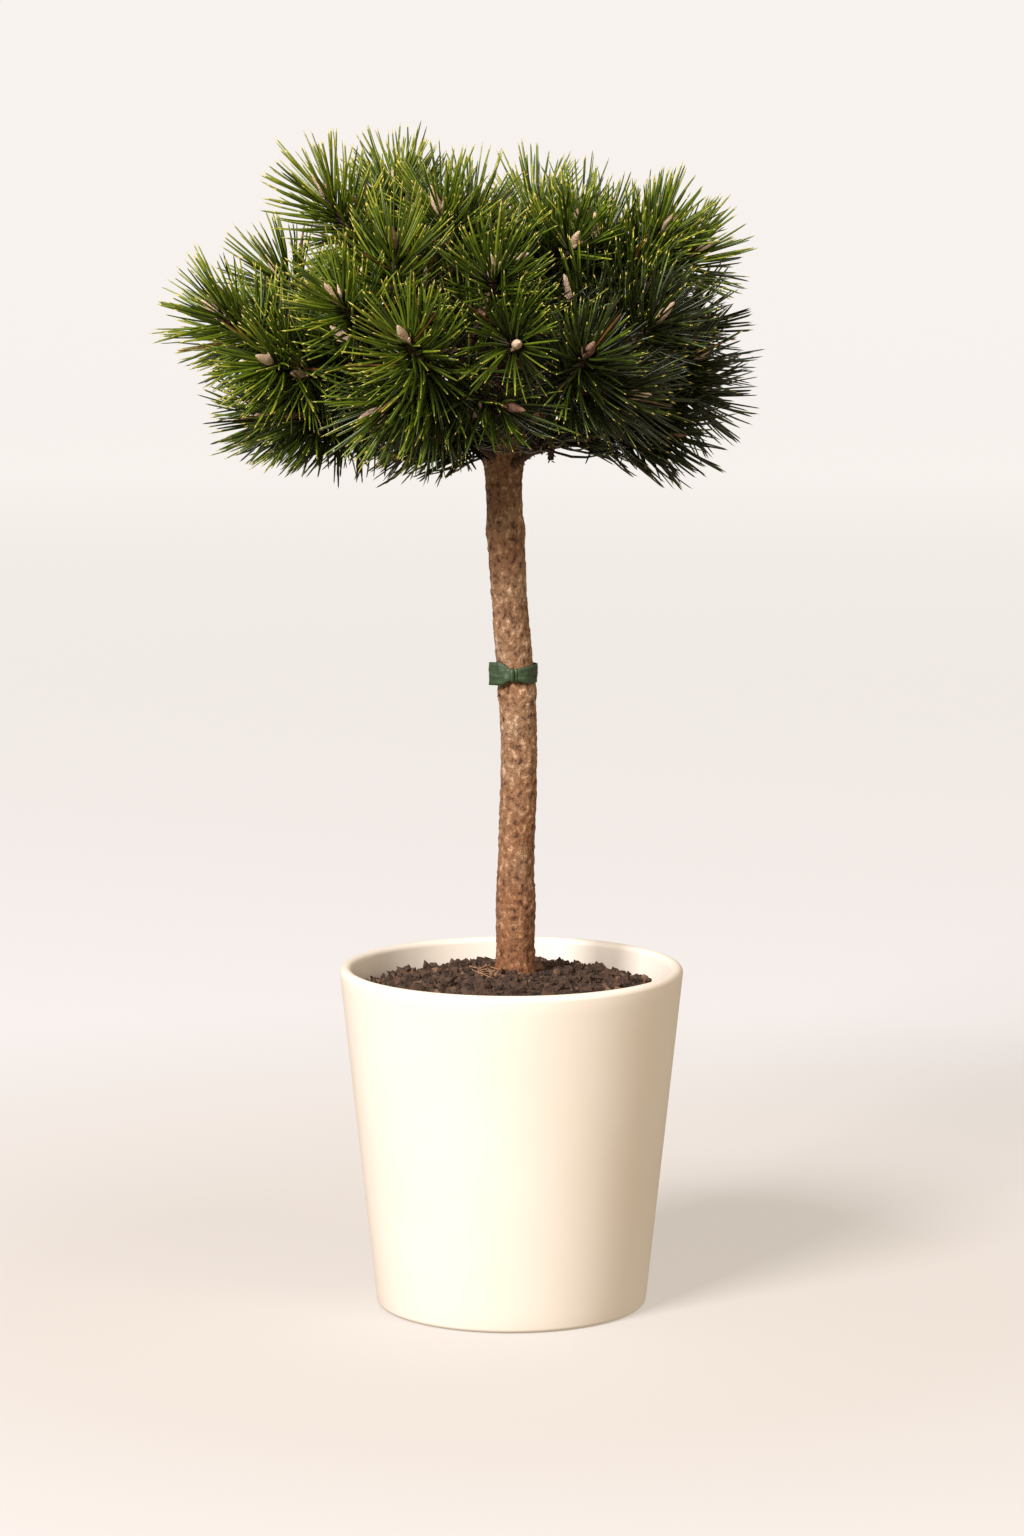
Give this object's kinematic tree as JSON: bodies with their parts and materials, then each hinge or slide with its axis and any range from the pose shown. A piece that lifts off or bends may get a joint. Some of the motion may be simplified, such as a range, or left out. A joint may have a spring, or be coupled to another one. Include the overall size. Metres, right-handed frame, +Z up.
{
  "type": "potted mops mugo pine",
  "caption": "Dwarf mountain pine grown as a standard: a needled crown of short boughs on a bare grafted stem, in a round tapered glazed pot.",
  "frame": {"origin": "centre of the pot's flat underside", "axes": "+Z up along the stem, -Y towards the front of the picture, +X to its right"},
  "size_m": [0.4098, 0.4374, 0.8209],
  "materials": {
    "pot_glaze": "satin",
    "potting_soil": "matte",
    "bark": "matte",
    "tie_tape": "satin",
    "needles": "satin"
  },
  "bodies": {
    "root": {"bough_back": "bark", "bough_back_left": "bark", "bough_back_left_top": "bark", "bough_back_right": "bark", "bough_back_right_top": "bark", "bough_back_top": "bark", "bough_front_centre": "bark", "bough_front_centre_left": "bark", "bough_front_left": "bark", "bough_front_right": "bark", "bough_left": "bark", "bough_left_low": "bark", "bough_right": "bark", "bough_right_front": "bark", "bough_top_centre": "bark", "bough_top_front": "bark", "bough_top_left": "bark", "bough_top_right": "bark", "foliage_back": "needles", "foliage_back_left": "needles", "foliage_back_left_top": "needles", "foliage_back_low_left": "needles", "foliage_back_low_right": "needles", "foliage_back_right": "needles", "foliage_back_right_top": "needles", "foliage_back_top": "needles", "foliage_front_centre": "needles", "foliage_front_centre_left": "needles", "foliage_front_left": "needles", "foliage_front_low": "needles", "foliage_front_low_right": "needles", "foliage_front_right": "needles", "foliage_left": "needles", "foliage_left_low": "needles", "foliage_right": "needles", "foliage_right_front": "needles", "foliage_right_low": "needles", "foliage_top_centre": "needles", "foliage_top_front": "needles", "foliage_top_left": "needles", "foliage_top_right": "needles", "pot": "pot_glaze", "soil": "potting_soil", "tie": "tie_tape", "trunk": "bark"}
  },
  "joints": []
}
